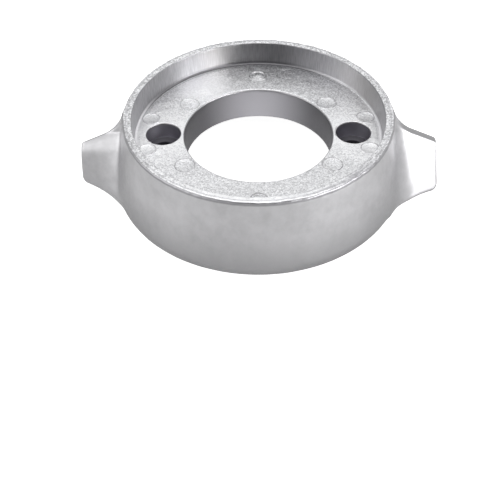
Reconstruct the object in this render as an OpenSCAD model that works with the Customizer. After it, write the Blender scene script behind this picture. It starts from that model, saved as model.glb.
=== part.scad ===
// A cast ring anode: a collar with a recessed face, a central bore,
// two counterbored bolt holes and an ear on each side that fairs it in.
// Millimetres. Z points from the flat base to the rim, X runs through both ears.

/* [Ring] */
// Height of the casting from its base to its rim
ring_h = 38.5; // [34:0.5:50]
// Diameter over the rim
rim_d = 120; // [118:0.5:150]
// How far the outer wall leans out, on the radius, between the rim and the base
wall_flare = 7.2; // [5:0.1:9]
// Radius of the rounded lower outer edge
foot_round = 7; // [3:0.5:8]
// Radius of the two edges of the rim
rim_round = 1; // [0.4:0.1:1.4]

/* [Recess in the face] */
// Thickness of the rim around the recess
rim_wall = 3.7; // [3:0.1:8]
// Depth of the recess below the rim
recess_depth = 11.3; // [7:0.1:14]
// How far the recess wall leans in, on the radius, from its mouth to its floor
recess_draft = 0.5; // [0.2:0.1:1.5]
// Radius of the fillet between the recess wall and its floor
floor_fillet = 1; // [0.4:0.1:2]

/* [Web and bore] */
// Thickness of the web that the bore and the bolts pass through
web_t = 16; // [13:0.5:20]
// Diameter of the central bore
bore_d = 67; // [50:0.5:68]
// Radius of the two edges of the bore
bore_round = 0.8; // [0.3:0.1:1.5]

/* [Bolt holes] */
// Diameter of the hole for the shank of each bolt
bolt_hole_d = 9; // [6.5:0.1:11]
// Diameter of the counterbore that takes each bolt's head
counterbore_d = 15.6; // [13:0.1:18.8]
// Depth of each counterbore below the recess floor
counterbore_depth = 8; // [5:0.5:10]
// Metal left between the bore and each counterbore
bolt_bore_gap = 1.7; // [1:0.1:2.5]

/* [Hollow in the base] */
// Width of the foot, from the hollow to the outer wall
foot_w = 13.2; // [11:0.1:16]
// Radius of the fillet around the roof of the hollow
hollow_fillet = 2; // [0.5:0.5:3]

/* [Ears] */
// How far each ear's tip reaches past the foot of the wall
ear_reach = 15.8; // [12:0.1:20]
// Depth below the rim at which the top of an ear leaves the wall
ear_drop = 6.9; // [6.7:0.1:9]
// Slope of the top of an ear, in degrees
ear_slope = 25; // [22:1:32]
// How far the end of an ear leans out from its top corner to the base
ear_end_lean = 2; // [0.5:0.1:3]
// Radius of the hollow between the top of an ear and the wall
ear_neck_round = 10; // [4:0.5:10.5]
// Radius of the rounded top corner of an ear
ear_tip_round = 3; // [1:0.5:4]
// Radius of the rounded lower corner of an ear's end
ear_end_round = 3.5; // [1:0.5:7]
// Radius of the rounded lower edge of an ear's flanks
ear_foot_round = 1.5; // [0.5:0.5:3]

/* [Slim ear] */
// Thickness of the slim ear along its top and its end
slim_fin_t = 3; // [3:0.5:6]
// Radius in plan of the hollow curve of its flanks, at the base
slim_flank_r = 60.5; // [50:0.5:70]
// Angle from the X axis at which its flanks meet the foot of the wall
slim_flank_angle = 26; // [24:0.5:28]
// Lean of its flanks from upright, in degrees
slim_flank_lean = 17; // [15:1:23]

/* [Broad ear] */
// Thickness of the broad ear along its top
broad_fin_t = 3; // [3:0.5:6]
// Radius in plan of the hollow curve of its flanks, at the base
broad_flank_r = 41; // [36:0.5:50]
// Angle from the X axis at which its flanks meet the foot of the wall
broad_flank_angle = 27; // [25:0.5:29]
// Lean of its flanks from upright, in degrees
broad_flank_lean = 26; // [20:1:27]

/* [Ejector pin marks] */
// Depth of each round mark that the mould's pins left in the recess floor
pin_mark_depth = 0.3; // [0.1:0.1:0.6]
// Diameter of the marks beside the bore
inner_mark_d = 8.6; // [6:0.2:9]
// Diameter of the marks beside the bolt holes and on the centre line
outer_mark_d = 7.6; // [5:0.2:8]
// Angle from the X axis of the marks beside the bore
inner_mark_angle = 35; // [30:1:50]
// Angle from the X axis of the marks beside the bolt holes
outer_mark_angle = 13; // [12:1:20]

/* [Hidden] */
$fn = 180;

rim_r = rim_d / 2;
base_r = rim_r + wall_flare;
bore_r = bore_d / 2;
recess_r = rim_r - rim_wall;
floor_r = recess_r - recess_draft;
floor_z = ring_h - recess_depth;
web_z = floor_z - web_t;
hollow_r = base_r - foot_w;
bolt_r = bore_r + bolt_bore_gap + counterbore_d / 2;
floor_mid_r = (bore_r + floor_r) / 2;
// Clearance between a pin mark and the edge that it lies beside
mark_gap = 1.4;
inner_mark_r = bore_r + mark_gap + inner_mark_d / 2;
outer_mark_r = floor_r - mark_gap - outer_mark_d / 2;
// The ears start inside the rim, half way through its wall
ear_root_r = rim_r - rim_wall / 2;
ear_tip_r = base_r + ear_reach;
// Cutters run past the surfaces that they cut by this much
past = 1;
// The hollow flanks run this far into the foot of the wall, which is rounded there
slim_flank_cross = 3;
broad_flank_cross = 1;
// The rounds under an ear are drawn this far below the base, to meet it at an angle
foot_dip = 0.2;
// A rounding circle is this much larger, so that it crosses the two faces that it joins
bite = 0.01;

slate = [0.72, 0.73, 0.75];

// Radius of the outer wall at a height
function wall_r(z) = base_r - wall_flare * z / ring_h;

// A corner p between the points a and b is rounded by a circle of radius r
function unit(v) = v / norm(v);
function half_angle(a, p, b) = acos(unit(a - p) * unit(b - p)) / 2;
function tangent_on(p, towards, reach) = p + unit(towards - p) * reach;
function round_centre(a, p, b, r) =
    p + unit(unit(a - p) + unit(b - p)) * r / sin(half_angle(a, p, b));

function reach_of(a, p, b, r) = r / tan(half_angle(a, p, b));
// A hollow corner is cut straight across between these two points, then hollowed by a circle
function across(a, p, b, r) =
    let (reach = reach_of(a, p, b, r)) [tangent_on(p, a, reach), tangent_on(p, b, reach)];

module hollow_round(a, p, b, r) {
    translate(round_centre(a, p, b, r)) circle(r + bite);
}

// What is taken off a convex corner to leave it round
module corner_waste(a, p, b, r) {
    reach = reach_of(a, p, b, r);
    centre = round_centre(a, p, b, r);
    difference() {
        polygon([tangent_on(p, a, reach), tangent_on(p, centre, -past), tangent_on(p, b, reach)]);
        translate(centre) circle(r + bite);
    }
}

// Half section of the ring, from its axis outwards
module ring_section() {
    foot = [base_r, 0];
    rim_out = [rim_r, ring_h];
    rim_in = [recess_r, ring_h];
    floor_out = [floor_r, floor_z];
    floor_in = [bore_r, floor_z];
    web_in = [bore_r, web_z];
    roof_out = [hollow_r, web_z];
    foot_in = [hollow_r, 0];
    difference() {
        polygon(concat(
            [foot, rim_out, rim_in],
            across(rim_in, floor_out, floor_in, floor_fillet),
            [floor_in, web_in],
            across(web_in, roof_out, foot_in, hollow_fillet),
            [foot_in]
        ));
        hollow_round(rim_in, floor_out, floor_in, floor_fillet);
        hollow_round(web_in, roof_out, foot_in, hollow_fillet);
        corner_waste(foot_in, foot, rim_out, foot_round);
        corner_waste(foot, rim_out, rim_in, rim_round);
        corner_waste(rim_out, rim_in, floor_out, rim_round);
        corner_waste(floor_out, floor_in, web_in, bore_round);
        corner_waste(floor_in, web_in, roof_out, bore_round);
    }
}

// An ear seen from the front, as X and Z
module ear_side() {
    neck_z = ring_h - ear_drop;
    neck = [wall_r(neck_z), neck_z];
    wall_top = [rim_r, ring_h];
    end_x = ear_tip_r - ear_end_lean;
    corner = [end_x, neck_z - (end_x - neck[0]) * tan(ear_slope)];
    tip = [ear_tip_r, -foot_dip];
    heel = [0, -foot_dip];
    neck_ends = across(corner, neck, wall_top, ear_neck_round);
    difference() {
        polygon(concat([[0, 0], [ear_tip_r, 0], corner], neck_ends, [[0, neck_ends[1][1]]]));
        hollow_round(corner, neck, wall_top, ear_neck_round);
        corner_waste(heel, tip, corner, ear_end_round);
        corner_waste(tip, corner, neck, ear_tip_round);
    }
}

// Half section of the round cutter that leaves an ear's hollow, leaning flank.
// Its foot spreads, so that the flank's lower edge is rounded
module flank_section(flank_r, lean) {
    top = [flank_r + (ring_h + past) * tan(lean), ring_h + past];
    foot = [flank_r, -foot_dip];
    ground = [flank_r + 2 * ear_foot_round, -foot_dip];
    foot_ends = across(ground, foot, top, ear_foot_round);
    difference() {
        polygon(concat(
            [[0, -past], [foot_ends[0][0], -past]], foot_ends, [top, [0, ring_h + past]]
        ));
        hollow_round(ground, foot, top, ear_foot_round);
    }
}

module ear(fin_t, flank_r, flank_cross, flank_angle, lean) {
    flank_centre = (base_r + flank_r - flank_cross) * [cos(flank_angle), sin(flank_angle)];
    half_w = base_r * sin(flank_angle);
    length = ear_tip_r + 2 * past;
    difference() {
        intersection() {
            rotate([90, 0, 0])
                linear_extrude(2 * (half_w + past), center = true) ear_side();
            union() {
                translate([-past, -fin_t / 2, -past]) cube([length, fin_t, ring_h + past]);
                difference() {
                    translate([-past, -half_w, -past]) cube([length, 2 * half_w, ring_h + past]);
                    for (side = [-1, 1])
                        translate([flank_centre[0], side * flank_centre[1], 0])
                            rotate_extrude() flank_section(flank_r, lean);
                }
            }
        }
        translate([0, 0, -past]) cylinder(h = ring_h + 2 * past, r = ear_root_r);
    }
}

// Cutter for one bolt hole, with its counterbore from the recess floor down
module bolt_hole() {
    translate([0, 0, web_z - past])
        cylinder(h = web_t + 2 * past, d = bolt_hole_d);
    translate([0, 0, floor_z - counterbore_depth])
        cylinder(h = counterbore_depth + past, d = counterbore_d);
}

module pin_mark(r, angle, d) {
    rotate([0, 0, angle])
        translate([r, 0, floor_z - pin_mark_depth])
            cylinder(h = pin_mark_depth + past, d = d);
}

module pin_marks() {
    for (side = [0, 180]) {
        for (turn = [-1, 1]) {
            pin_mark(inner_mark_r, side + turn * inner_mark_angle, inner_mark_d);
            pin_mark(outer_mark_r, side + turn * outer_mark_angle, outer_mark_d);
        }
        pin_mark(floor_mid_r, side + 90, outer_mark_d);
    }
}

module anode_casting() {
    color(slate)
        difference() {
            union() {
                rotate_extrude() ring_section();
                ear(broad_fin_t, broad_flank_r, broad_flank_cross, broad_flank_angle, broad_flank_lean);
                rotate([0, 0, 180])
                    ear(slim_fin_t, slim_flank_r, slim_flank_cross, slim_flank_angle, slim_flank_lean);
            }
            for (side = [-1, 1])
                translate([side * bolt_r, 0, 0]) bolt_hole();
            pin_marks();
        }
}

anode_casting();
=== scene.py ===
import math
from collections import namedtuple

import bmesh
import bpy
import numpy as np
from mathutils import Matrix, Vector


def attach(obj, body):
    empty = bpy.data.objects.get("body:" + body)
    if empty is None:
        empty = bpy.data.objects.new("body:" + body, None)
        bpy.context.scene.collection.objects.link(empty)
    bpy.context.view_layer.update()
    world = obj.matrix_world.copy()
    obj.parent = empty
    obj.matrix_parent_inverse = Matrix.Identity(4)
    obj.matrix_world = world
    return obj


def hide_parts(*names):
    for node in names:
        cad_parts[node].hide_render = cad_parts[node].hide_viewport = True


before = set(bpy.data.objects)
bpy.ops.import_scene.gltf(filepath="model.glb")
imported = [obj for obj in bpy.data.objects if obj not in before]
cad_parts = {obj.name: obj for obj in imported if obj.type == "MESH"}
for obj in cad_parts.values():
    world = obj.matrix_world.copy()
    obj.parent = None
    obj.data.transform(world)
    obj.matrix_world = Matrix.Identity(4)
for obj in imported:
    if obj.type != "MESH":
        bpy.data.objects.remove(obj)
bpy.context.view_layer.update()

# Every size is in millimetres, as in the CAD, and becomes metres when a mesh or a lamp is made
MM = 0.001

# Ring, as in the CAD
RING_H = 38.5
RIM_R = 60.0
WALL_FLARE = 7.2
BASE_R = RIM_R + WALL_FLARE
FOOT_ROUND = 7.0
RIM_WALL = 3.7
RECESS_DEPTH = 11.3
RECESS_DRAFT = 0.5
FLOOR_FILLET = 1.0
FLOOR_Z = RING_H - RECESS_DEPTH
RECESS_R = RIM_R - RIM_WALL
FLOOR_R = RECESS_R - RECESS_DRAFT
WEB_T = 16.0
WEB_Z = FLOOR_Z - WEB_T
BORE_R = 33.5
FOOT_W = 13.2
HOLLOW_R = BASE_R - FOOT_W
HOLLOW_FILLET = 2.0

# Edges that the CAD leaves sharp, or rounds by another radius
RIM_ROUND_OUT = 0.8
RIM_ROUND_IN = 0.5
BORE_ROUND = 1.0
FOOT_EDGE_ROUND = 0.5
HOLE_LIP = 0.6

# Bolt holes, as in the CAD, with small chamfers at their lower ends and their shoulders
COUNTERBORE_R = 7.8
COUNTERBORE_DEPTH = 8.0
BOLT_HOLE_R = 4.5
BOLT_BORE_GAP = 1.7
BOLT_R = BORE_R + BOLT_BORE_GAP + COUNTERBORE_R
LOW_CHAMFER = 0.5
SHOULDER_CHAMFER = 0.4
CORNER_CHAMFER = 0.5

# Round marks of the mould's pins: distance from the axis, angle from +X and radius
Mark = namedtuple("Mark", "away degrees radius")
MARK_GAP = 1.4
INNER_MARK_R = 4.3
OUTER_MARK_R = 3.8
INNER_MARK = Mark(BORE_R + MARK_GAP + INNER_MARK_R, 35.0, INNER_MARK_R)
OUTER_MARK = Mark(FLOOR_R - MARK_GAP - OUTER_MARK_R, 13.0, OUTER_MARK_R)
CENTRE_MARK = Mark(45.0, 90.0, OUTER_MARK_R)
# Depth of a mark, width of its sloping edge, and the place of the bend in that: inwards and up
MARK_SINK = 0.14
MARK_EDGE = 0.35
MARK_BEND = (0.12, 0.08)
# The ridge round a mark has this radius, and its middle lies this share of that outside the mark
MARK_RIDGE = 0.14
RIDGE_OUT = 0.8
# The marks on the centre line have a groove round a low dome
GROOVE_DEPTH = 0.3
GROOVE_SLOPE = 0.3
GROOVE_W = 1.1
DOME_H = 0.45
DOME_R = 2.6
DOME_TOP_R = 0.6
MARK_STEPS = 48
HOLE_STEPS = 96
# Cutters run past the floor by this much, and those of the marks widen a little there
CUT_PAST = 1.0
CUT_FLARE = 0.05
# The round of a hole's lip stops short of 90 degrees, so that it crosses the floor at an angle
LIP_STOP = 94

# Ears; their sloping top leaves the wall at the neck
EAR_TIP_R = 83.0
EAR_DROP = 6.9
EAR_SLOPE = math.radians(25)
EAR_NECK_Z = RING_H - EAR_DROP
EAR_NECK_X = BASE_R - WALL_FLARE * EAR_NECK_Z / RING_H
# The end leans in by this much over this height, and is blended with the top and the flanks
EAR_END_LEAN = 2.0
EAR_END_H = 22.0
EAR_END_BLEND = 1.2
EAR_END_ROUND = 3.5
EAR_FOOT_ROUND = 1.5
# Blends of an ear with the wall: above its top, and at the foot, between these heights
EAR_NECK_BLEND = 8.0
EAR_LOW_BLEND = 7.0
LOW_BLEND_FROM = 10.0
LOW_BLEND_FULL = 1.0
# The flanks run on past the ear's top by this share of its height
FLANK_PAST = 0.1
# The flanks lie askew, so that the gap square to them is this share of the gap along Y
FLANK_SKEW = 0.85
# From the first angle to this much before its end, a flank's rounded foot grows to the ring's
FOOT_GROWS_FROM = math.radians(12)
FOOT_GROWN_BEFORE = 0.02
# The neck's blend comes in as a point moves from beside the ear to over it by this much
OVER_FROM = -1.0
OVER_FULL = 1.5

# Grid of the casting
RING_STEP = math.radians(0.85)
BROAD_COLUMNS = 76
SLIM_COLUMNS = 70
# Rows up the wall: round the foot, up to the first height, up to the second, and round the rim
FOOT_ROWS = 11
LOW_ROWS = 13
SLOPE_ROWS = 42
RIM_ROWS = 5
LOW_TOP = 19.0
SLOPE_TOP = 36.0
# Each half of an ear joins the ring at this angle from its middle plane
JUNCTION = math.radians(40)
# Rays that find an ear's outline. The first, along its middle, starts here and finds the tip;
# the fan at the end starts this far inside that, and the power crowds the rest at the junction
FINE_RAYS = 420
RAY_START = 20.0
FAN_BACK = 2.0
SWING_POWER = 1.5
# Each ray's end is found by halving the distance to a point that is outside for all of them
BISECTIONS = 26
FAR = 95.0
# A turn of one radian counts as this length of outline, when the columns are spread along it
CORNER_WEIGHT = 5.0

# A flank of an ear is hollow along the base, an arc of radius flank_r that runs cross deep into
# the wall's foot at the given angle. From there it is straight up to the ear's top, where the
# ear is top_half to each side. The blends round the edge along the top and the one at the
# wall; crest is what the top needs on it, so that its blend leaves the middle at full height
Ear = namedtuple("Ear", "flank_r cross angle columns top_half crest top_blend wall_blend")
SLIM = Ear(60.5, 3.0, math.radians(26), SLIM_COLUMNS, 3.4, 1.3, 8.0, 1.6)
BROAD = Ear(41.0, 1.0, math.radians(27), BROAD_COLUMNS, 1.9, 0.0, 0.5, 7.0)


# Shape of the casting

def smooth_min(a, b, k):
    """The lower of two distances, rounded where they are within k of each other."""
    near = np.maximum(k - np.abs(a - b), 0)
    return np.minimum(a, b) - near * near / (4 * k)


def smooth_max(a, b, k):
    """The higher of two distances, rounded in the same way."""
    return -smooth_min(-a, -b, k)


def step_between(low, high, x):
    """Runs smoothly from 0 at low to 1 at high."""
    t = np.clip((x - low) / (high - low), 0, 1)
    return t * t * (3 - 2 * t)


def inset(z, radius):
    """How far a rounded lower edge lies inside the wall above it."""
    up = np.clip(radius - z, 0, radius)
    return radius - np.sqrt(radius * radius - up * up)


def wall_radius(z):
    """Radius of the outer wall, with the rounding of the rim and of the foot."""
    over = np.clip(z - (RING_H - RIM_ROUND_OUT), 0, RIM_ROUND_OUT)
    rim = RIM_ROUND_OUT - np.sqrt(RIM_ROUND_OUT ** 2 - over ** 2)
    return BASE_R - WALL_FLARE * z / RING_H - rim - inset(z, FOOT_ROUND)


def ear_top(x):
    """Height of an ear's top, which slopes down from the wall."""
    return EAR_NECK_Z - (x - EAR_NECK_X) * math.tan(EAR_SLOPE)


def ear_side(ear, x, y, z):
    """Gap to the flanks of an ear."""
    centre_away = BASE_R + ear.flank_r - ear.cross
    along = np.clip(centre_away * math.cos(ear.angle) - x, 0, ear.flank_r)
    arc_half = centre_away * math.sin(ear.angle) - np.sqrt(ear.flank_r ** 2 - along ** 2)
    base_half = np.minimum(arc_half, BASE_R * math.sin(ear.angle))
    up = np.clip(z / ear_top(x), 0, 1 + FLANK_PAST)
    half = base_half + (ear.top_half - base_half) * up
    round_axis = np.arctan2(np.abs(y), x)
    near_wall = step_between(FOOT_GROWS_FROM, ear.angle - FOOT_GROWN_BEFORE, round_axis)
    foot = EAR_FOOT_ROUND + (FOOT_ROUND - EAR_FOOT_ROUND) * near_wall
    return (np.abs(y) - half) * FLANK_SKEW + inset(z, foot)


def casting_gap(ear, x, y, z):
    """How far a point lies outside the ring and the ear, measured level; the ear points along +X."""
    top = (z - ear_top(x) - ear.crest) * math.cos(EAR_SLOPE)
    end = x - (EAR_TIP_R - EAR_END_LEAN * z / EAR_END_H) + inset(z, EAR_END_ROUND)
    side = ear_side(ear, x, y, z)
    outside = smooth_max(smooth_max(top, side, ear.top_blend), end, EAR_END_BLEND)
    ring = np.hypot(x, y) - wall_radius(z)
    over = step_between(OVER_FROM, OVER_FULL, top - side)
    blend = ear.wall_blend + (EAR_NECK_BLEND - ear.wall_blend) * over
    low = step_between(LOW_BLEND_FROM, LOW_BLEND_FULL, z)
    blend = blend + (EAR_LOW_BLEND - blend) * low
    return smooth_min(ring, outside, blend)


def crossing(ear, ox, oy, dx, dy, z):
    """Where level rays from inside the casting leave it."""
    low = np.zeros(np.broadcast(ox, dx, z).shape)
    high = np.full(low.shape, FAR)
    for _ in range(BISECTIONS):
        mid = (low + high) / 2
        inside = casting_gap(ear, ox + dx * mid, oy + dy * mid, z) < 0
        low = np.where(inside, mid, low)
        high = np.where(inside, high, mid)
    return ox + dx * low, oy + dy * low


def ear_rays(ear, z):
    """Fine points of one half of an ear's outline at each height.

    The rays start on the ear's middle plane: first they swing from radial to square with it,
    then they fan round its end.
    """
    zero = np.zeros_like(z)
    tip_x = crossing(ear, zero + RAY_START, zero, zero + 1, zero, z)[0]
    fan_x = tip_x - FAN_BACK
    along = np.linspace(0, 1, FINE_RAYS)
    swing = JUNCTION + (math.pi / 2 - JUNCTION) * along ** SWING_POWER
    fan = np.linspace(math.pi / 2, 0, FINE_RAYS)[1:]
    ox = np.concatenate([fan_x * along, np.repeat(fan_x, FINE_RAYS - 1, axis=1)], axis=1)
    angle = np.concatenate([swing, fan])[None, :]
    return crossing(ear, ox, 0, np.cos(angle), np.sin(angle), z)


def ear_outline(ear, heights):
    """Level outlines of one half of an ear, from its junction with the ring to its middle.

    The columns crowd where the outline turns.
    """
    z = heights[:, None]
    x, y = ear_rays(ear, z)
    dx = np.diff(x, axis=1)
    dy = np.diff(y, axis=1)
    heading = np.unwrap(np.arctan2(dy, dx), axis=1)
    turn = np.abs(np.diff(heading, axis=1, prepend=heading[:, :1]))
    weight = np.cumsum(np.hypot(dx, dy) + CORNER_WEIGHT * turn, axis=1)
    weight = np.concatenate([np.zeros_like(z), weight], axis=1)
    wanted = np.linspace(0, 1, ear.columns + 1)
    rows = []
    for row_x, row_y, row_w in zip(x, y, weight):
        share = row_w / row_w[-1]
        row = [np.interp(wanted, share, row_x), np.interp(wanted, share, row_y)]
        rows.append(np.stack(row, axis=1))
    return np.array(rows)


def outer_rows():
    """Heights of the level rows of the outer surface, from the base to the rim."""
    foot = FOOT_ROUND * (1 - np.cos(np.linspace(0, math.pi / 2, FOOT_ROWS)))
    low = np.linspace(FOOT_ROUND, LOW_TOP, LOW_ROWS)[1:]
    slope = np.linspace(LOW_TOP, SLOPE_TOP, SLOPE_ROWS)[1:]
    rim = RING_H - RIM_ROUND_OUT * (1 - np.sin(np.linspace(0, math.pi / 2, RIM_ROWS)))
    return np.concatenate([foot, low, slope, rim])


def outer_outlines(heights):
    """The outline of the casting at each height, as rows of points that run once round it."""
    broad = ear_outline(BROAD, heights)
    slim = ear_outline(SLIM, heights) * np.array([-1, 1])
    count = round((math.pi - 2 * JUNCTION) / RING_STEP)
    angle = np.linspace(JUNCTION, math.pi - JUNCTION, count + 1)[1:-1]
    radius = wall_radius(heights)[:, None]
    ring = np.stack([radius * np.cos(angle), radius * np.sin(angle)], axis=2)
    half = np.concatenate([broad[:, ::-1], ring, slim], axis=1)
    mirrored = half[:, -2:0:-1] * np.array([1, -1])
    return np.concatenate([half, mirrored], axis=1)


def arc(centre_r, centre_z, radius, start, stop, steps):
    """Points of a round edge in the half section, as (radius, height); angles are in degrees."""
    turn = np.radians(np.linspace(start, stop, steps + 1))
    return [(centre_r + radius * math.cos(a), centre_z + radius * math.sin(a)) for a in turn]


def line(a, b, steps):
    """Points from a to b, without either end."""
    a = np.array(a)
    b = np.array(b)
    return [tuple(a + (b - a) * k / steps) for k in range(1, steps)]


def inner_section():
    """Half section of everything inside the rim: recess, floor, bore, web and hollow."""
    rim_r = RECESS_R + RIM_ROUND_IN
    fillet_r = FLOOR_R - FLOOR_FILLET
    edge_r = BORE_R + BORE_ROUND
    roof_r = HOLLOW_R - HOLLOW_FILLET
    foot_r = HOLLOW_R + FOOT_EDGE_ROUND
    rim = arc(rim_r, RING_H - RIM_ROUND_IN, RIM_ROUND_IN, 90, 180, steps=4)
    fillet = arc(fillet_r, FLOOR_Z + FLOOR_FILLET, FLOOR_FILLET, 0, -90, steps=4)
    bore_top = arc(edge_r, FLOOR_Z - BORE_ROUND, BORE_ROUND, 90, 180, steps=4)
    bore_low = arc(edge_r, WEB_Z + BORE_ROUND, BORE_ROUND, 180, 270, steps=3)
    roof = arc(roof_r, WEB_Z - HOLLOW_FILLET, HOLLOW_FILLET, 90, 0, steps=4)
    foot = arc(foot_r, FOOT_EDGE_ROUND, FOOT_EDGE_ROUND, 180, 270, steps=3)
    rim_out = (wall_radius(RING_H), RING_H)
    parts = [
        line(rim_out, rim[0], steps=5), rim,
        line(rim[-1], fillet[0], steps=12), fillet,
        line(fillet[-1], bore_top[0], steps=27), bore_top,
        line(bore_top[-1], bore_low[0], steps=10), bore_low,
        line(bore_low[-1], roof[0], steps=12), roof,
        line(roof[-1], foot[0], steps=6), foot,
    ]
    return np.array([p for part in parts for p in part])


def casting_points():
    """Grid of points: rows up the outside, over the rim and back under the casting."""
    heights = outer_rows()
    outlines = outer_outlines(heights)
    levels = np.broadcast_to(heights[:, None, None], outlines[:, :, :1].shape)
    outer = np.concatenate([outlines, levels], axis=2)
    rim = outer[-1]
    round_rim = np.arctan2(rim[:, 1], rim[:, 0])
    section = inner_section()
    radius = section[:, 0][:, None]
    inner = np.stack([
        radius * np.cos(round_rim),
        radius * np.sin(round_rim),
        np.broadcast_to(section[:, 1][:, None], (len(section), len(round_rim))),
    ], axis=2)
    across_foot = np.array([0.25, 0.5, 0.75])[:, None, None]
    base = inner[-1][None] * (1 - across_foot) + outer[0][None] * across_foot
    return np.concatenate([outer, inner, base], axis=0)


# Unevenness of the cast surface: layers of smooth noise, each with its share, size and seed
Layer = namedtuple("Layer", "share size seed")
SWELL = (Layer(0.05, 9.0, 11), Layer(0.03, 4.0, 12))
ROUGH = (Layer(0.6, 1.7, 13), Layer(0.4, 1.0, 14))
# Height of the roughness everywhere, and what the rim and the floor add to it
ROUGH_ALL = 0.02
ROUGH_RIM = 0.24
ROUGH_FLOOR = 0.08
# The rim stands no more than this above its drawn height
RIM_PROUD = 0.15
TABLE_SIZE = 32


def lattice_noise(points, size, seed):
    """Smooth random values from -1 to 1 that vary over about the given size."""
    table = np.random.RandomState(seed).uniform(-1, 1, (TABLE_SIZE, TABLE_SIZE, TABLE_SIZE))
    at = points / size
    cell = np.floor(at).astype(int)
    t = at - cell
    t = t * t * (3 - 2 * t)
    total = np.zeros(len(points))
    for corner in range(8):
        bits = np.array([corner & 1, corner >> 1 & 1, corner >> 2 & 1])
        share = np.prod(np.where(bits, t, 1 - t), axis=1)
        i, j, k = ((cell + bits) % TABLE_SIZE).T
        total += share * table[i, j, k]
    return total


def layered_noise(points, layers):
    return sum(layer.share * lattice_noise(points, layer.size, layer.seed) for layer in layers)


def cast_offset(points):
    """How far the cast surface stands proud of its drawn shape; the turned wall does not swell."""
    x, y, z = points.T
    radius = np.hypot(x, y)
    on_rim = step_between(RING_H - 2.0, RING_H - 0.6, z) * step_between(RECESS_R - 1, RECESS_R, radius)
    on_floor = step_between(FLOOR_R, FLOOR_R - 2, radius) * step_between(FLOOR_Z - 0.3, FLOOR_Z, z)
    on_floor *= step_between(BORE_R + 0.4, BORE_R + 1.2, radius)
    above_floor = step_between(FLOOR_Z, FLOOR_Z + 1.5, z)
    turned = above_floor * step_between(RECESS_R + 1.5, RECESS_R + 0.5, radius)
    rough = layered_noise(points, ROUGH) * (ROUGH_ALL + ROUGH_RIM * on_rim + ROUGH_FLOOR * on_floor)
    return layered_noise(points, SWELL) * (1 - turned) + rough


def domes(points):
    """Height of the low domes in the two marks on the centre line."""
    x, y, z = points.T
    away = np.hypot(x, np.abs(y) - CENTRE_MARK.away)
    on_floor = np.abs(z - FLOOR_Z) < 1
    return DOME_H * step_between(DOME_R, DOME_TOP_R, away) * on_floor


# Meshes

def make_mesh(name, points, faces):
    """An object made of the given points and faces."""
    mesh = bpy.data.meshes.new(name)
    mesh.from_pydata([tuple(p) for p in points * MM], [], faces)
    mesh.update()
    piece = bpy.data.objects.new(name, mesh)
    bpy.context.scene.collection.objects.link(piece)
    return piece


def grid_faces(rows, columns, rows_wrap=True):
    """Four-sided faces of a grid that closes round its columns."""
    faces = []
    for row in range(rows if rows_wrap else rows - 1):
        here = row * columns
        above = (row + 1) % rows * columns
        for column in range(columns):
            after = (column + 1) % columns
            faces.append((here + column, here + after, above + after, above + column))
    return faces


def normals_of(mesh):
    flat = np.empty(len(mesh.vertices) * 3)
    mesh.vertices.foreach_get("normal", flat)
    return flat.reshape(-1, 3)


def spun(section, centre, segments):
    """Points of a half section turned about a vertical line, row by row."""
    section = np.array(section)
    turn = np.linspace(0, 2 * math.pi, segments, endpoint=False)[None, :]
    return np.stack([
        centre[0] + section[:, :1] * np.cos(turn),
        centre[1] + section[:, :1] * np.sin(turn),
        section[:, 1:] + 0 * turn,
    ], axis=2).reshape(-1, 3)


def revolve(section, centre, segments):
    """Closed solid of revolution with flat ends."""
    faces = grid_faces(len(section), segments, rows_wrap=False)
    faces.append(tuple(range(segments - 1, -1, -1)))
    last = (len(section) - 1) * segments
    faces.append(tuple(range(last, last + segments)))
    return spun(section, centre, segments), faces


def middle_of(mark):
    turn = math.radians(mark.degrees)
    return mark.away * math.cos(turn), mark.away * math.sin(turn)


def hoop(mark, section):
    """Closed hoop round the middle of a mark."""
    return spun(section, middle_of(mark), MARK_STEPS), grid_faces(len(section), MARK_STEPS)


def bolt_cutter(side):
    """A bolt hole with its counterbore, whose lips are rounded."""
    shoulder = FLOOR_Z - COUNTERBORE_DEPTH
    low_r = BOLT_HOLE_R + LOW_CHAMFER
    low_lip = [(low_r, WEB_Z - CUT_PAST), (low_r, WEB_Z), (BOLT_HOLE_R, WEB_Z + LOW_CHAMFER)]
    mid_lip = [(BOLT_HOLE_R, shoulder - SHOULDER_CHAMFER), (BOLT_HOLE_R + SHOULDER_CHAMFER, shoulder)]
    corner = [(COUNTERBORE_R - CORNER_CHAMFER, shoulder), (COUNTERBORE_R, shoulder + CORNER_CHAMFER)]
    top_lip = arc(COUNTERBORE_R + HOLE_LIP, FLOOR_Z - HOLE_LIP, HOLE_LIP, 180, LIP_STOP, steps=5)
    top = [(top_lip[-1][0], FLOOR_Z + CUT_PAST)]
    return revolve(low_lip + mid_lip + corner + top_lip + top, (side * BOLT_R, 0), HOLE_STEPS)


def mark_cutter(mark):
    """A shallow round mark left by a pin of the mould."""
    low = FLOOR_Z - MARK_SINK
    section = [
        (mark.radius - MARK_EDGE, low),
        (mark.radius - MARK_BEND[0], low + MARK_BEND[1]),
        (mark.radius, FLOOR_Z),
        (mark.radius + CUT_FLARE, FLOOR_Z + CUT_PAST),
    ]
    return revolve(section, middle_of(mark), MARK_STEPS)


def groove_cutter(mark):
    """The groove round a domed mark."""
    outer = mark.radius
    inner = mark.radius - GROOVE_W
    low = FLOOR_Z - GROOVE_DEPTH
    high = FLOOR_Z + CUT_PAST
    return hoop(mark, [
        (outer, high), (outer, FLOOR_Z), (outer - GROOVE_SLOPE, low),
        (inner + GROOVE_SLOPE, low), (inner, FLOOR_Z), (inner, high),
    ])


def ridge(mark):
    """The low ridge of metal round a mark, half sunk in the floor."""
    middle_r = mark.radius + RIDGE_OUT * MARK_RIDGE
    return hoop(mark, arc(middle_r, FLOOR_Z, MARK_RIDGE, 0, 315, steps=7))


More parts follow.
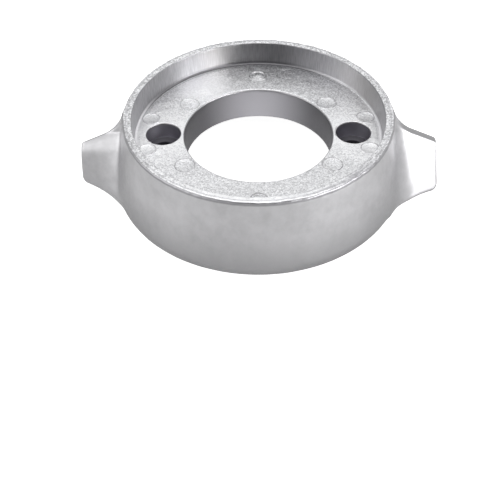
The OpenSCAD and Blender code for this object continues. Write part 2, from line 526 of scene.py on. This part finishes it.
def plain_marks():
    """The marks beside the bore and beside the bolt holes."""
    for side in (0, 180):
        for mark in (INNER_MARK, OUTER_MARK):
            for turn in (-1, 1):
                yield mark._replace(degrees=side + turn * mark.degrees)


def domed_marks():
    """The two marks on the centre line."""
    for side in (0, 180):
        yield CENTRE_MARK._replace(degrees=side + CENTRE_MARK.degrees)


def joined(shapes):
    """Several sets of points and faces as one."""
    points = []
    faces = []
    start = 0
    for shape_points, shape_faces in shapes:
        points.append(shape_points)
        faces.extend(tuple(start + v for v in face) for face in shape_faces)
        start += len(shape_points)
    return np.concatenate(points), faces


def all_cutters():
    """Every hole and mark, as one set of points and faces."""
    shapes = [bolt_cutter(side) for side in (-1, 1)]
    shapes += [mark_cutter(mark) for mark in plain_marks()]
    shapes += [groove_cutter(mark) for mark in domed_marks()]
    return joined(shapes)


def all_ridges():
    """The ridges round all the marks, as one set of points and faces."""
    shapes = [ridge(mark) for mark in plain_marks()]
    shapes += [ridge(mark) for mark in domed_marks()]
    return joined(shapes)


def face_outwards(piece):
    """Turns a closed mesh so that its faces look outwards."""
    bm = bmesh.new()
    bm.from_mesh(piece.data)
    bmesh.ops.recalc_face_normals(bm, faces=bm.faces)
    if bm.calc_volume(signed=True) < 0:
        bmesh.ops.reverse_faces(bm, faces=bm.faces)
    bm.to_mesh(piece.data)
    bm.free()


def combine(piece, tool, operation):
    """Adds a solid to the piece or takes it away, and removes the solid."""
    modifier = piece.modifiers.new("combine", "BOOLEAN")
    modifier.operation = operation
    modifier.solver = "EXACT"
    modifier.object = tool
    graph = bpy.context.evaluated_depsgraph_get()
    mesh = bpy.data.meshes.new_from_object(piece.evaluated_get(graph))
    piece.modifiers.clear()
    piece.data = mesh
    bpy.data.objects.remove(tool)


def make_casting():
    """The casting as one closed mesh: the grid, its unevenness, then its holes and marks."""
    grid = casting_points()
    rows, columns = grid.shape[:2]
    points = grid.reshape(-1, 3)
    piece = make_mesh("casting", points, grid_faces(rows, columns))
    face_outwards(piece)
    points = points + normals_of(piece.data) * cast_offset(points)[:, None]
    points[:, 2] += domes(points)
    points[:, 2] = np.clip(points[:, 2], 0, RING_H + RIM_PROUD)
    piece.data.vertices.foreach_set("co", (points * MM).ravel())
    piece.data.update()
    for shapes, operation in ((all_cutters(), "DIFFERENCE"), (all_ridges(), "UNION")):
        tool = make_mesh("tool", *shapes)
        face_outwards(tool)
        combine(piece, tool, operation)
    piece.data.polygons.foreach_set("use_smooth", [True] * len(piece.data.polygons))
    return piece


def mark_turned_faces(piece):
    """Gives the wall of the recess its own material, up to just short of its two edges."""
    beside = 0.4
    short = 0.7
    for face in piece.data.polygons:
        x, y, z = face.center / MM
        on_wall = FLOOR_R - beside < math.hypot(x, y) < RECESS_R + beside
        face.material_index = int(on_wall and FLOOR_Z + short < z < RING_H - short)


# Materials

class Shades:
    """Short calls that add shader nodes to one material or world."""

    def __init__(self, owner):
        owner.use_nodes = True
        self.tree = owner.node_tree
        self.tree.nodes.clear()

    def add(self, kind, **settings):
        node = self.tree.nodes.new(kind)
        for name, value in settings.items():
            setattr(node, name, value)
        return node

    def put(self, socket, value):
        """Links a value to a socket, or sets it there."""
        if isinstance(value, bpy.types.NodeSocket):
            self.tree.links.new(value, socket)
        else:
            socket.default_value = value

    def feed(self, node, **inputs):
        for name, value in inputs.items():
            self.put(node.inputs[name.replace("_", " ")], value)
        return node

    def math(self, operation, a, b=0.0, clamp=False):
        node = self.add("ShaderNodeMath", operation=operation, use_clamp=clamp)
        self.put(node.inputs[0], a)
        self.put(node.inputs[1], b)
        return node.outputs[0]

    def plus(self, a, b, clamp=False):
        return self.math("ADD", a, b, clamp)

    def minus(self, a, b):
        return self.math("SUBTRACT", a, b)

    def times(self, product, *others):
        for other in others:
            product = self.math("MULTIPLY", product, other)
        return product

    def absolute(self, value):
        return self.math("ABSOLUTE", value)

    def distance(self, x, y):
        return self.math("SQRT", self.plus(self.times(x, x), self.times(y, y)))

    def ramp(self, value, low, high, to_low=0.0, to_high=1.0):
        """Runs smoothly from to_low where the value is low to to_high where it is high."""
        node = self.add("ShaderNodeMapRange", interpolation_type="SMOOTHSTEP")
        self.feed(node, Value=value, From_Min=low, From_Max=high, To_Min=to_low, To_Max=to_high)
        return node.outputs["Result"]

    def hump(self, value, middle, reach):
        """1 at the middle, falling smoothly to 0 at the given reach on both sides."""
        return self.ramp(self.absolute(self.minus(value, middle)), 0.0, reach, 1, 0)

    def noise(self, where, scale, detail=2.0, rough=0.5):
        node = self.add("ShaderNodeTexNoise")
        self.feed(node, Vector=where, Scale=scale, Detail=detail, Roughness=rough)
        return node.outputs["Fac"]

    def split(self, place):
        """The three parts of a place or a direction."""
        axes = self.add("ShaderNodeSeparateXYZ")
        self.put(axes.inputs[0], place)
        return list(axes.outputs)

    def combine(self, x, y):
        place = self.add("ShaderNodeCombineXYZ")
        self.put(place.inputs[0], x)
        self.put(place.inputs[1], y)
        return place.outputs[0]

    def stretch(self, where, x, y, z):
        node = self.add("ShaderNodeMapping")
        self.feed(node, Vector=where, Scale=(x, y, z))
        return node.outputs[0]

    def blend(self, share, a, b):
        """Colour that goes from a to b."""
        node = self.add("ShaderNodeMix", data_type="RGBA")
        self.put(node.inputs[0], share)
        self.put(node.inputs[6], a)
        self.put(node.inputs[7], b)
        return node.outputs[2]

    def layered(self, colour, layers):
        """The colour with others laid over it in turn, each by its share."""
        for share, over in layers:
            colour = self.blend(share, colour, over)
        return colour

    def mix(self, share, a, b):
        """Number that goes from a to b."""
        node = self.add("ShaderNodeMix", data_type="FLOAT")
        self.put(node.inputs[0], share)
        self.put(node.inputs[2], a)
        self.put(node.inputs[3], b)
        return node.outputs[0]

    def ray_kinds(self):
        """1 for the camera's own rays, and 1 for those that leave a glossy or a clear surface."""
        rays = self.add("ShaderNodeLightPath").outputs
        reflected = self.plus(rays["Is Glossy Ray"], rays["Is Transmission Ray"], clamp=True)
        return rays["Is Camera Ray"], reflected

    def finish(self, shader, output="ShaderNodeOutputMaterial"):
        self.put(self.add(output).inputs[0], shader.outputs[0])

    def finish_metal(self, colour, rough, height, **others):
        """Ends the material as bare metal, with a relief of the given height in metres."""
        bump = self.add("ShaderNodeBump")
        self.feed(bump, Height=height, Distance=1.0, Strength=1.0)
        shader = self.add("ShaderNodeBsdfPrincipled")
        self.feed(shader, Base_Color=colour, Metallic=1.0, Roughness=rough)
        self.feed(shader, Normal=bump.outputs[0], **others)
        self.finish(shader)


def grey(value, cool=0.0):
    """A grey; cool adds a little blue and violet."""
    return (value * (1 + 0.1 * cool), value * (1 - 0.2 * cool), value * (1 + cool), 1)


# Tones of the cast metal
SATIN_DARK = grey(0.45, 0.02)
SATIN_PALE = grey(0.53, 0.02)
SATIN_MOTTLE = grey(0.60, 0.02)
# Painted shade: the outer wall darker towards its foot
LOW_WALL_SHADE = grey(0.31, 0.02)
# Painted shade on the broad ear's sloping top
EAR_TOP_SHADE = grey(0.32, 0.02)
# Painted shade on the sides of the bore, and a pale painted reflection on its back
BORE_SIDES_SHADE = grey(0.27, 0.05)
BORE_BACK_HIGHLIGHT = grey(0.83, 0.05)
# Painted shade in the bolt holes, darkest from their shoulders down
HOLE_WALL_SHADE = grey(0.36, 0.10)
HOLE_FLOOR_SHADE = grey(0.09, 0.10)
# Painted shade along the foot of the recess wall at the back
WALL_FOOT_SHADE = grey(0.14, 0.06)
# Painted highlight on the floor's fillet on the left and on the right
FILLET_HIGHLIGHT = grey(0.92, 0.02)
SCUFF = grey(0.30, 0.06)
# Painted shade on the rim's rounded edges
RIM_EDGE_SHADE = grey(0.32, 0.04)
RIM_LINE = grey(0.45, 0.04)
# Painted shade round the top of the outer wall, under the rim's round
TOP_SHADE_LINE = grey(0.16, 0.06)
CRYSTAL_TINT = (0.985, 0.99, 1.01)
# Tones of the recess wall
TURNED_DARK = grey(0.34, 0.03)
TURNED_MID = grey(0.42, 0.03)
TURNED_PALE = grey(0.52, 0.03)
# Painted shade behind the bore
TURNED_SHADE = grey(0.13, 0.06)
# Painted highlight on both sides of that
TURNED_HIGHLIGHT = (0.74, 0.72, 0.70, 1)
# Middle of the floor's smoother patch, made paler by a painted pool of light
LIGHT_PATCH_MIDDLE = (-27.0, 37.0)

# A point of the metal: x, y, z and the distance from the axis are in mm, as in the CAD. Turn is
# its angle round the axis in degrees: 0 at the broad ear, 90 at the back, -90 at the front. Up
# is 1 where the surface faces up
Surface = namedtuple("Surface", "where x y z radius turn up")


def surface_of(s):
    where = s.add("ShaderNodeTexCoord").outputs["Object"]
    x, y, z = [s.math("DIVIDE", part, MM) for part in s.split(where)]
    turn = s.times(s.math("ARCTAN2", y, x), math.degrees(1))
    up = s.split(s.add("ShaderNodeNewGeometry").outputs["Normal"])[2]
    return Surface(where, x, y, z, s.distance(x, y), turn, up)


# Each zone is 1 on its own surface and 0 elsewhere
Zones = namedtuple("Zones", "above_web crystal rim rim_edge in_hole bore")


def zones_of(s, at):
    """Crystal is the floor and the top of the rim; above_web leaves out all below the floor."""
    flat_up = s.ramp(at.up, 0.75, 0.93)
    within_rim = s.ramp(at.radius, RIM_R + 0.6, RIM_R + 1.2, 1, 0)
    above_web = s.ramp(at.z, FLOOR_Z - 1.2, FLOOR_Z - 0.8)
    rim = s.times(within_rim, s.ramp(at.z, RING_H - 1.4, RING_H - 0.9))
    bolt_away = s.distance(s.minus(s.absolute(at.x), BOLT_R), at.y)
    by_bolt = s.ramp(bolt_away, COUNTERBORE_R + 0.1, COUNTERBORE_R + 0.4, 1, 0)
    by_bore = s.ramp(at.radius, BORE_R + 0.2, BORE_R + 0.5, 1, 0)
    return Zones(
        above_web=above_web,
        crystal=s.times(flat_up, within_rim, above_web),
        rim=rim,
        rim_edge=s.times(rim, s.minus(1.0, flat_up)),
        in_hole=s.times(by_bolt, s.ramp(at.z, FLOOR_Z - 1.2, FLOOR_Z - 0.5, 1, 0)),
        bore=s.times(by_bore, s.ramp(at.z, FLOOR_Z - 1.0, FLOOR_Z - 0.4, 1, 0)),
    )


# Patterns of the cast surface: the tone and the gloss differ from facet to facet
Patterns = namedtuple("Patterns", "grain facet tone gloss blotch flow")


def flow_lines(s, at):
    """Thin lines where streams of metal met, in some parts of the floor only."""
    flow = s.noise(s.stretch(at.where, 1.0, 1.6, 1.0), 75, 5, 0.62)
    return s.times(s.hump(flow, 0.5, 0.022), s.ramp(s.noise(at.where, 45, 2, 0.5), 0.46, 0.60))


def patterns_of(s, at):
    facets = s.add("ShaderNodeTexVoronoi", feature="F1")
    s.feed(facets, Vector=at.where, Scale=2100)
    random_tones = s.add("ShaderNodeSeparateColor")
    s.put(random_tones.inputs[0], facets.outputs["Color"])
    return Patterns(
        grain=s.noise(at.where, 900, 3, 0.65),
        facet=facets.outputs["Distance"],
        tone=random_tones.outputs[0],
        gloss=random_tones.outputs[1],
        blotch=s.noise(at.where, 850, 4, 0.7),
        flow=flow_lines(s, at),
    )


def satin_and_shade_colour(s, at):
    """The outer wall, with painted shade that darkens it towards its foot, and the ears, with painted
    shade on the broad ear's top.
    """
    cloud = s.noise(at.where, 60, 3, 0.5)
    mottle = s.noise(at.where, 260, 3, 0.6)
    on_ring = s.ramp(s.absolute(at.x), 60, 66, 1, 0.1)
    ear_top_shade = s.times(s.ramp(at.x, 61, 64), s.ramp(at.up, 0.55, 0.75))
    return s.layered(s.blend(s.ramp(cloud, 0.3, 0.7), SATIN_DARK, SATIN_PALE), (
        (s.ramp(mottle, 0.3, 0.7, 0, 0.35), SATIN_MOTTLE),
        # painted shade, darker towards the foot of the ring's wall
        (s.times(s.ramp(at.z, 2, 27, 0.85, 0.0), on_ring), LOW_WALL_SHADE),
        # painted shade on the broad ear's top, where it faces up
        (s.times(ear_top_shade, 0.8), EAR_TOP_SHADE),
    ))


# Painted pool of light on the floor
def light_patch(s, at):
    away = s.distance(s.minus(at.x, LIGHT_PATCH_MIDDLE[0]), s.minus(at.y, LIGHT_PATCH_MIDDLE[1]))
    return s.ramp(away, 6, 20, 1, 0)


def floor_groove_shade(s, at, zones):
    """Painted shade of a fine, broken groove near the edge of the floor; the groove has no relief."""
    off_line = s.absolute(s.minus(at.radius, FLOOR_R - 2.2))
    broken = s.ramp(s.noise(at.where, 30, 1, 0.5), 0.42, 0.56)
    return s.times(s.ramp(off_line, 0.10, 0.30, 1, 0), zones.crystal, broken)


def beside_holes(s, at, zones):
    """The left and the right of the floor."""
    both = s.plus(s.hump(at.turn, 0, 38), s.hump(s.absolute(at.turn), 180, 38))
    return s.times(both, s.minus(1.0, zones.rim))


def crystal_and_light_colour(s, at, zones, patterns):
    """The floor and the rim: facets of differing tone, speckled on the rim, with a painted pool of
    light, painted highlights and painted shade along a groove.
    """
    tone = s.ramp(patterns.tone, 0.0, 1.0, 0.62, 0.96)
    tone = s.times(tone, s.ramp(patterns.blotch, 0.32, 0.66, 0.84, 1.08))
    # painted pool of light on the floor
    tone = s.mix(s.times(light_patch(s, at), 0.7), tone, 0.98)
    # painted shade of the groove
    tone = s.times(tone, s.minus(1.0, s.times(floor_groove_shade(s, at, zones), 0.30)))
    tone = s.plus(tone, s.times(patterns.flow, 0.16))
    speckle = s.ramp(s.noise(at.where, 1000, 4, 0.75), 0.38, 0.60, 0.60, 1.28)
    tone = s.times(tone, s.mix(zones.rim, 1.0, speckle))
    # painted highlight along the front of the rim
    tone = s.plus(tone, s.times(s.hump(at.turn, -90, 65), zones.rim, 0.42))
    # painted light on the left and the right of the floor
    tone = s.plus(tone, s.times(beside_holes(s, at, zones), 0.28), clamp=True)
    colour = s.add("ShaderNodeCombineColor")
    for index, tint in enumerate(CRYSTAL_TINT):
        s.put(colour.inputs[index], s.times(tone, tint))
    return colour.outputs[0]


def foot_shade_line(s, at):
    """Painted shade: the dark line at the foot of the recess wall, at the back."""
    from_back = s.absolute(s.minus(at.turn, 110))
    return s.times(
        s.ramp(at.radius, FLOOR_R - 1.7, FLOOR_R - 1.0),
        s.ramp(at.radius, RECESS_R + 0.2, RECESS_R + 0.6, 1, 0),
        s.ramp(at.z, FLOOR_Z + 1.5, FLOOR_Z + 2.2, 1, 0),
        s.ramp(at.z, FLOOR_Z - 1.5, FLOOR_Z - 0.8),
        s.ramp(from_back, 40, 66, 1, 0),
    )


def side_fillet_highlight(s, at, zones):
    """Painted highlight: the pale fillet at the foot of the recess wall, on the left and on the right.
    """
    return s.times(
        s.hump(at.radius, FLOOR_R - 0.4, 1.4),
        s.ramp(at.z, FLOOR_Z + 1.5, FLOOR_Z + 2.2, 1, 0),
        zones.above_web,
        beside_holes(s, at, zones),
    )


def scuffs(s, at, zones):
    """Dull streaks along the rim, at the front right."""
    along = s.times(at.turn, math.radians(1) * 0.1 * RIM_R * MM)
    streaks = s.noise(s.combine(along, s.times(at.radius, MM)), 900, 3, 0.6)
    return s.times(s.hump(at.turn, -52, 30), zones.rim, s.ramp(streaks, 0.42, 0.58))


def rim_line(s, at, zones):
    """The greyer band along the top of the rim, near its outer edge."""
    return s.times(s.hump(at.radius, RIM_R - 1.3, 0.7), zones.rim)


def top_shade_line(s, at):
    """Painted shade: the dark line round the top of the outer wall, under the rim's round."""
    return s.times(s.ramp(at.radius, RIM_R - 0.3, RIM_R + 0.1), s.hump(at.z, RING_H - 1.3, 0.7))


# Painted shade in a bolt hole: a dark wall, and darker still from the shoulder down
def hole_shade_colour(s, at):
    shoulder = FLOOR_Z - COUNTERBORE_DEPTH
    return s.blend(s.ramp(at.z, shoulder + 0.1, shoulder + 0.6, 1, 0), HOLE_WALL_SHADE, HOLE_FLOOR_SHADE)


# Colour of the cast metal, with the painted light and shade laid over it
def cast_colour(s, at, zones, patterns):
    return s.layered(satin_and_shade_colour(s, at), (
        # painted shade on the bore's sides and a painted reflection on its back
        (zones.bore, s.blend(s.hump(at.turn, 90, 55), BORE_SIDES_SHADE, BORE_BACK_HIGHLIGHT)),
        # crystal facets with painted light and shade
        (zones.crystal, crystal_and_light_colour(s, at, zones, patterns)),
        # painted shade at the foot of the recess wall
        (s.times(foot_shade_line(s, at), 0.85), WALL_FOOT_SHADE),
        # painted highlight on the fillet
        (s.times(side_fillet_highlight(s, at, zones), 0.8), FILLET_HIGHLIGHT),
        (s.times(scuffs(s, at, zones), 0.65), SCUFF),
        # painted shade on the rim's rounded edges
        (s.times(zones.rim_edge, 0.8), RIM_EDGE_SHADE),
        (s.times(rim_line(s, at, zones), 0.5), RIM_LINE),
        # painted shade under the rim's round
        (s.times(top_shade_line(s, at), 0.6), TOP_SHADE_LINE),
        # painted shade in the bolt holes
        (zones.in_hole, hole_shade_colour(s, at)),
    ))


def cast_roughness(s, zones, patterns):
    satin = s.ramp(patterns.grain, 0.3, 0.7, 0.34, 0.44)
    facets = s.ramp(patterns.gloss, 0, 1, 0.28, 0.46)
    return s.mix(zones.in_hole, s.mix(zones.crystal, satin, facets), 0.5)


def cast_relief(s, at, zones, patterns):
    """A fine grain everywhere, and a coarser relief on the floor and the rim."""
    grain = s.times(s.minus(patterns.grain, 0.5), 0.02 * MM)
    coarse = 0.0
    for pattern, depth in (
        (patterns.facet, 0.04),
        (s.noise(at.where, 1100, 2, 0.6), 0.07),
        (patterns.blotch, 0.10),
        (patterns.flow, 0.08),
    ):
        coarse = s.plus(coarse, s.times(pattern, depth * MM))
    return s.plus(grain, s.times(zones.crystal, coarse))


def cast_material():
    """Cast metal: satin outside, crystal facets on the floor and the rim."""
    material = bpy.data.materials.new("cast_metal")
    s = Shades(material)
    at = surface_of(s)
    zones = zones_of(s, at)
    patterns = patterns_of(s, at)
    s.finish_metal(
        cast_colour(s, at, zones, patterns),
        cast_roughness(s, zones, patterns),
        cast_relief(s, at, zones, patterns),
    )
    return material


def turned_and_light_colour(s, at, streaks):
    """Streaks of the turning, with painted shade behind the bore, painted highlights on both sides of
    that, and painted shade along its foot there.
    """
    bright = s.blend(s.noise(at.where, 140, 3, 0.5), TURNED_MID, TURNED_PALE)
    highlight_sides = s.plus(s.hump(at.turn, 110, 15), s.hump(at.turn, 25, 30), clamp=True)
    foot = s.ramp(at.z, FLOOR_Z + 0.6, FLOOR_Z + 2.0, 1, 0)
    return s.layered(s.blend(s.ramp(streaks, 0.35, 0.65), TURNED_DARK, bright), (
        # painted shade behind the bore
        (s.times(s.hump(at.turn, 80, 36), 0.58), TURNED_SHADE),
        (s.times(s.hump(at.turn, 60, 24), 0.35), TURNED_SHADE),
        # painted highlights on both sides of that
        (s.times(highlight_sides, 0.36), TURNED_HIGHLIGHT),
        # painted shade along the foot at the back
        (s.times(foot, s.hump(at.turn, 102, 75), 0.75), WALL_FOOT_SHADE),
    ))


def turned_material():
    """The wall of the recess: drawn smooth, so that its gloss spreads up and down."""
    material = bpy.data.materials.new("drawn_metal")
    s = Shades(material)
    at = surface_of(s)
    along = s.times(at.turn, math.radians(1) * RECESS_R * MM)
    streaks = s.noise(s.combine(along, s.times(at.z, 0.05 * MM)), 2400, 3, 0.65)
    tangent = s.add("ShaderNodeTangent", direction_type="RADIAL", axis="Z")
    s.finish_metal(
        turned_and_light_colour(s, at, streaks), 0.36, s.times(streaks, 0.02 * MM),
        Anisotropic=0.85, Anisotropic_Rotation=0.25, Tangent=tangent.outputs[0],
    )
    return material


# Studio

# Tone of the floor's cloth, and what the floor glows to the camera and in reflections
FLOOR_TONE = 0.76
FLOOR_GLOW_SEEN = 0.92
FLOOR_GLOW_REFLECTED = 0.08
FLOOR_HALF = 6000.0
# Even light of the world, and what reflections see of it
LIGHT_LEVEL = 0.50
HORIZON = 1.0
CEILING = 0.84
LEFT = 0.5
FRONT = 0.10
# Soft boxes; a brightness of 1 looks as bright as white paper
Lamp = namedtuple("Lamp", "name azimuth elevation size brightness")
LAMP_DISTANCE = 900.0
LAMPS = (
    Lamp("overhead", -20, 82, (1200, 1200), 0.72),
    Lamp("right_front", 54, 15, (710, 440), 6.0),
    Lamp("left_front", -68, 16, (1100, 700), 1.6),
)
# Camera at the photograph's viewing angle; the rim's centre shows at this pixel
CAMERA_AZIMUTH = -0.134
CAMERA_ELEVATION = 36.474
CAMERA_ROLL = -0.346
CAMERA_DISTANCE = 420.69
FOCAL_PIXELS = 937.43
FRAME_PIXELS = 500
SENSOR_W = 36.0
RIM_CENTRE_PIXEL = (258.21, 112.59)


def floor_material():
    """Plain pale floor that keeps a soft shadow and can be looked through from below."""
    material = bpy.data.materials.new("floor")
    s = Shades(material)
    cloth = s.add("ShaderNodeBsdfDiffuse")
    s.feed(cloth, Color=grey(FLOOR_TONE))
    seen, reflected = s.ray_kinds()
    level = s.plus(s.times(seen, FLOOR_GLOW_SEEN), s.times(reflected, FLOOR_GLOW_REFLECTED))
    glow = s.add("ShaderNodeEmission")
    s.feed(glow, Color=grey(1.0), Strength=level)
    both = s.add("ShaderNodeAddShader")
    s.put(both.inputs[0], cloth.outputs[0])
    s.put(both.inputs[1], glow.outputs[0])
    choice = s.add("ShaderNodeMixShader")
    s.put(choice.inputs[0], s.add("ShaderNodeNewGeometry").outputs["Backfacing"])
    s.put(choice.inputs[1], both.outputs[0])
    s.put(choice.inputs[2], s.add("ShaderNodeBsdfTransparent").outputs[0])
    s.finish(choice)
    return material


def make_world():
    """White to the camera; reflections see a bright horizon, a dimmer left and a dark front."""
    world = bpy.data.worlds.new("studio")
    bpy.context.scene.world = world
    s = Shades(world)
    x, y, z = s.split(s.add("ShaderNodeTexCoord").outputs["Generated"])
    above = s.ramp(z, 0.0, 0.2)
    in_gloss = s.ramp(z, 0.05, 0.7, HORIZON, CEILING)
    in_gloss = s.mix(s.times(s.ramp(x, -0.3, -0.8), above), in_gloss, LEFT)
    in_gloss = s.mix(s.times(s.ramp(y, -0.25, -0.75), above), in_gloss, FRONT)
    seen, reflected = s.ray_kinds()
    level = s.mix(seen, s.mix(reflected, LIGHT_LEVEL, in_gloss), 1.0)
    sky = s.add("ShaderNodeBackground")
    s.feed(sky, Color=grey(1.0), Strength=level)
    s.finish(sky, "ShaderNodeOutputWorld")


def make_floor():
    half = FLOOR_HALF
    points = np.array([(-half, -half, 0), (half, -half, 0), (half, half, 0), (-half, half, 0)])
    floor = make_mesh("floor", points, [(0, 1, 2, 3)])
    floor.data.materials.append(floor_material())


def direction(azimuth, elevation):
    """Unit vector; azimuth 0 is in front of the object, along -Y, and 90 is along +X."""
    a = math.radians(azimuth)
    e = math.radians(elevation)
    return Vector((math.sin(a) * math.cos(e), -math.cos(a) * math.cos(e), math.sin(e)))


def add_lamp(lamp):
    """Adds a soft box that faces the object."""
    data = bpy.data.lights.new(lamp.name, "AREA")
    data.shape = "RECTANGLE"
    data.size = lamp.size[0] * MM
    data.size_y = lamp.size[1] * MM
    data.energy = lamp.brightness * math.pi * data.size * data.size_y
    box = bpy.data.objects.new(lamp.name, data)
    bpy.context.scene.collection.objects.link(box)
    back = direction(lamp.azimuth, lamp.elevation)
    box.location = back * LAMP_DISTANCE * MM
    box.rotation_euler = back.to_track_quat("Z", "Y").to_euler()


def camera_axes(back):
    """The camera's right, its up and the way back from the rim's centre, with the roll."""
    level = (-back).cross(Vector((0, 0, 1))).normalized()
    over = level.cross(-back)
    roll = math.radians(CAMERA_ROLL)
    right = level * math.cos(roll) + over * math.sin(roll)
    up = over * math.cos(roll) - level * math.sin(roll)
    return Matrix((right, up, back)).transposed()


def make_camera():
    """The camera looks past the rim's centre, so that it shows at its place in the photograph."""
    data = bpy.data.cameras.new("camera")
    data.sensor_width = SENSOR_W
    data.lens = SENSOR_W * FOCAL_PIXELS / FRAME_PIXELS
    data.clip_start = 0.01
    data.clip_end = 50
    camera = bpy.data.objects.new("camera", data)
    bpy.context.scene.collection.objects.link(camera)
    back = direction(CAMERA_AZIMUTH, CAMERA_ELEVATION)
    half = FRAME_PIXELS / 2
    seen = Vector((RIM_CENTRE_PIXEL[0] - half, half - RIM_CENTRE_PIXEL[1], -FOCAL_PIXELS)).normalized()
    swing = seen.rotation_difference(Vector((0, 0, -1))).to_matrix()
    camera.rotation_euler = (camera_axes(back) @ swing).to_euler()
    camera.location = (back * CAMERA_DISTANCE + Vector((0, 0, RING_H))) * MM
    bpy.context.scene.camera = camera


casting = make_casting()
casting.data.materials.clear()
casting.data.materials.append(cast_material())
casting.data.materials.append(turned_material())
mark_turned_faces(casting)
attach(casting, "root")
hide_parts("anode_casting")

make_world()
make_floor()
make_camera()
for lamp in LAMPS:
    add_lamp(lamp)

scene = bpy.context.scene
scene.view_settings.view_transform = "Standard"
